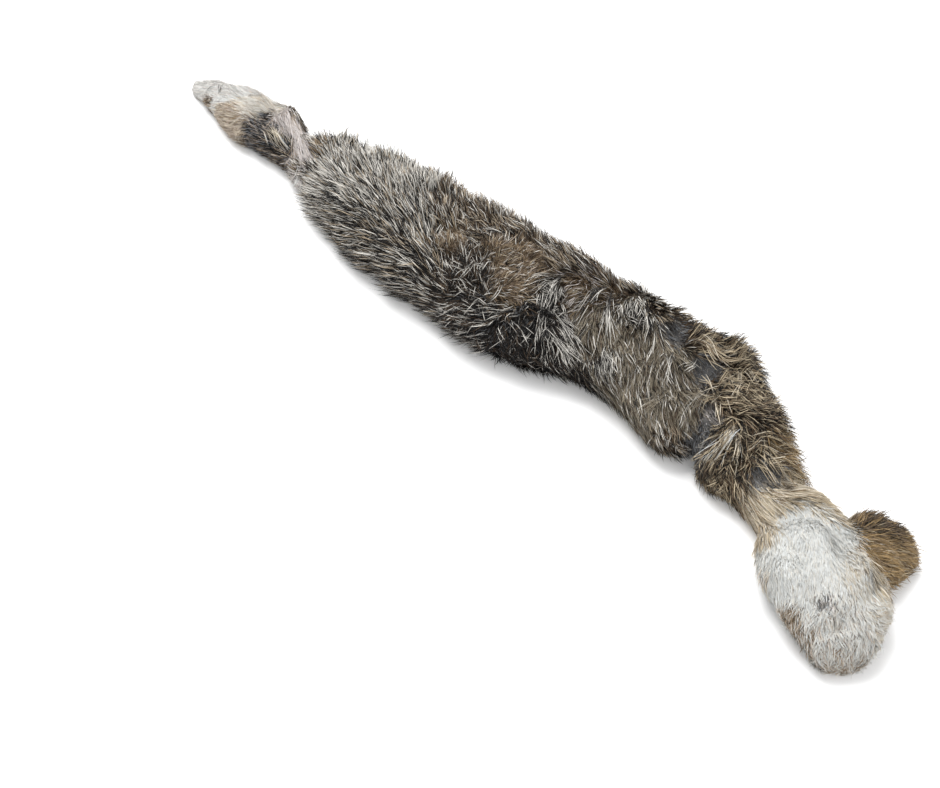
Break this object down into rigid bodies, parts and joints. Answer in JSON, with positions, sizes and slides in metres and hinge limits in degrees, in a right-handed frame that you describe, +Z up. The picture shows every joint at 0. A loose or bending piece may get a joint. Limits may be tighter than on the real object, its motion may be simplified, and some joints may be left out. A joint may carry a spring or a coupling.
{
  "type": "rabbit skin pelt",
  "caption": "Tanned rabbit skin folded lengthwise with the fur outside, lying on a surface as a long bent strip with a narrow foot end, a white belly end and a short brown flap.",
  "frame": {"origin": "centre of the bounding box's underside, on the surface that the pelt lies on", "axes": "+Z up, the hind foot end towards -X and +Y, the white belly end towards +X and -Y, the folded edge facing -X and -Y"},
  "size_m": [0.4634, 0.4898, 0.0479],
  "materials": {
    "fur": "matt banded guard hair over dense wool",
    "skin": "matt suede flesh side"
  },
  "bodies": {
    "root": {"pelt": "fur"}
  },
  "joints": []
}
